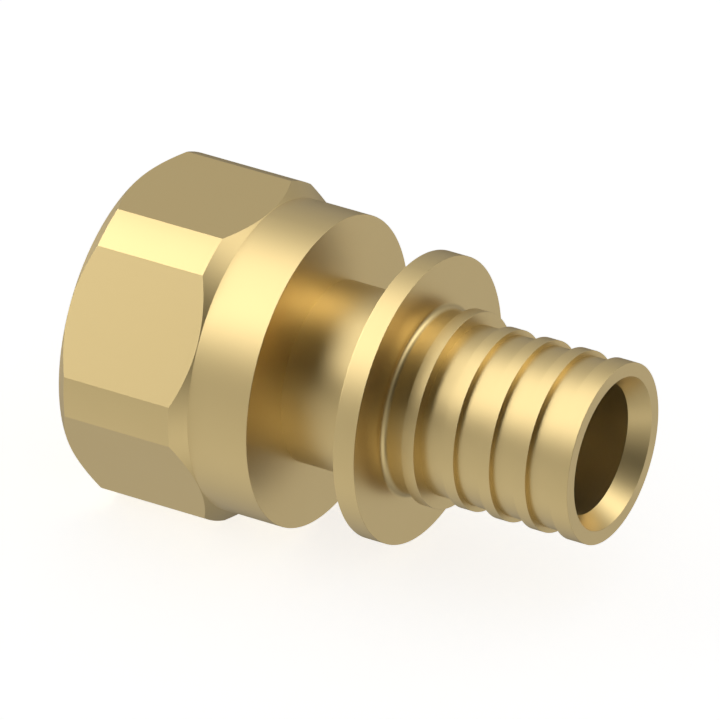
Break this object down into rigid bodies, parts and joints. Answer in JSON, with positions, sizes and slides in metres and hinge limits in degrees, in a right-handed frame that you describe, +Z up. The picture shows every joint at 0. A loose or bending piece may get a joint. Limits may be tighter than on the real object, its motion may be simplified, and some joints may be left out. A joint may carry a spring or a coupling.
{
  "type": "pex female adapter",
  "caption": "Brass adapter from plastic pipe to a threaded tail: a hexagonal wrench body with an internal thread socket, a collar, a neck, a flange and a grooved spigot, bored right through.",
  "frame": {"origin": "on the axis, in the plane of the collar's front face, where the neck begins", "axes": "+X along the axis towards the spigot's nozzle, so the threaded socket opens to -X; +Z up, square to the flat of the hexagon that the part doesn't lie on; the part lies on the opposite flat, at -Z"},
  "size_m": [0.04, 0.026, 0.024],
  "materials": {
    "body": "satin as turned and milled, with fine tool marks"
  },
  "bodies": {
    "root": {"adapter_body": "body"}
  },
  "joints": []
}
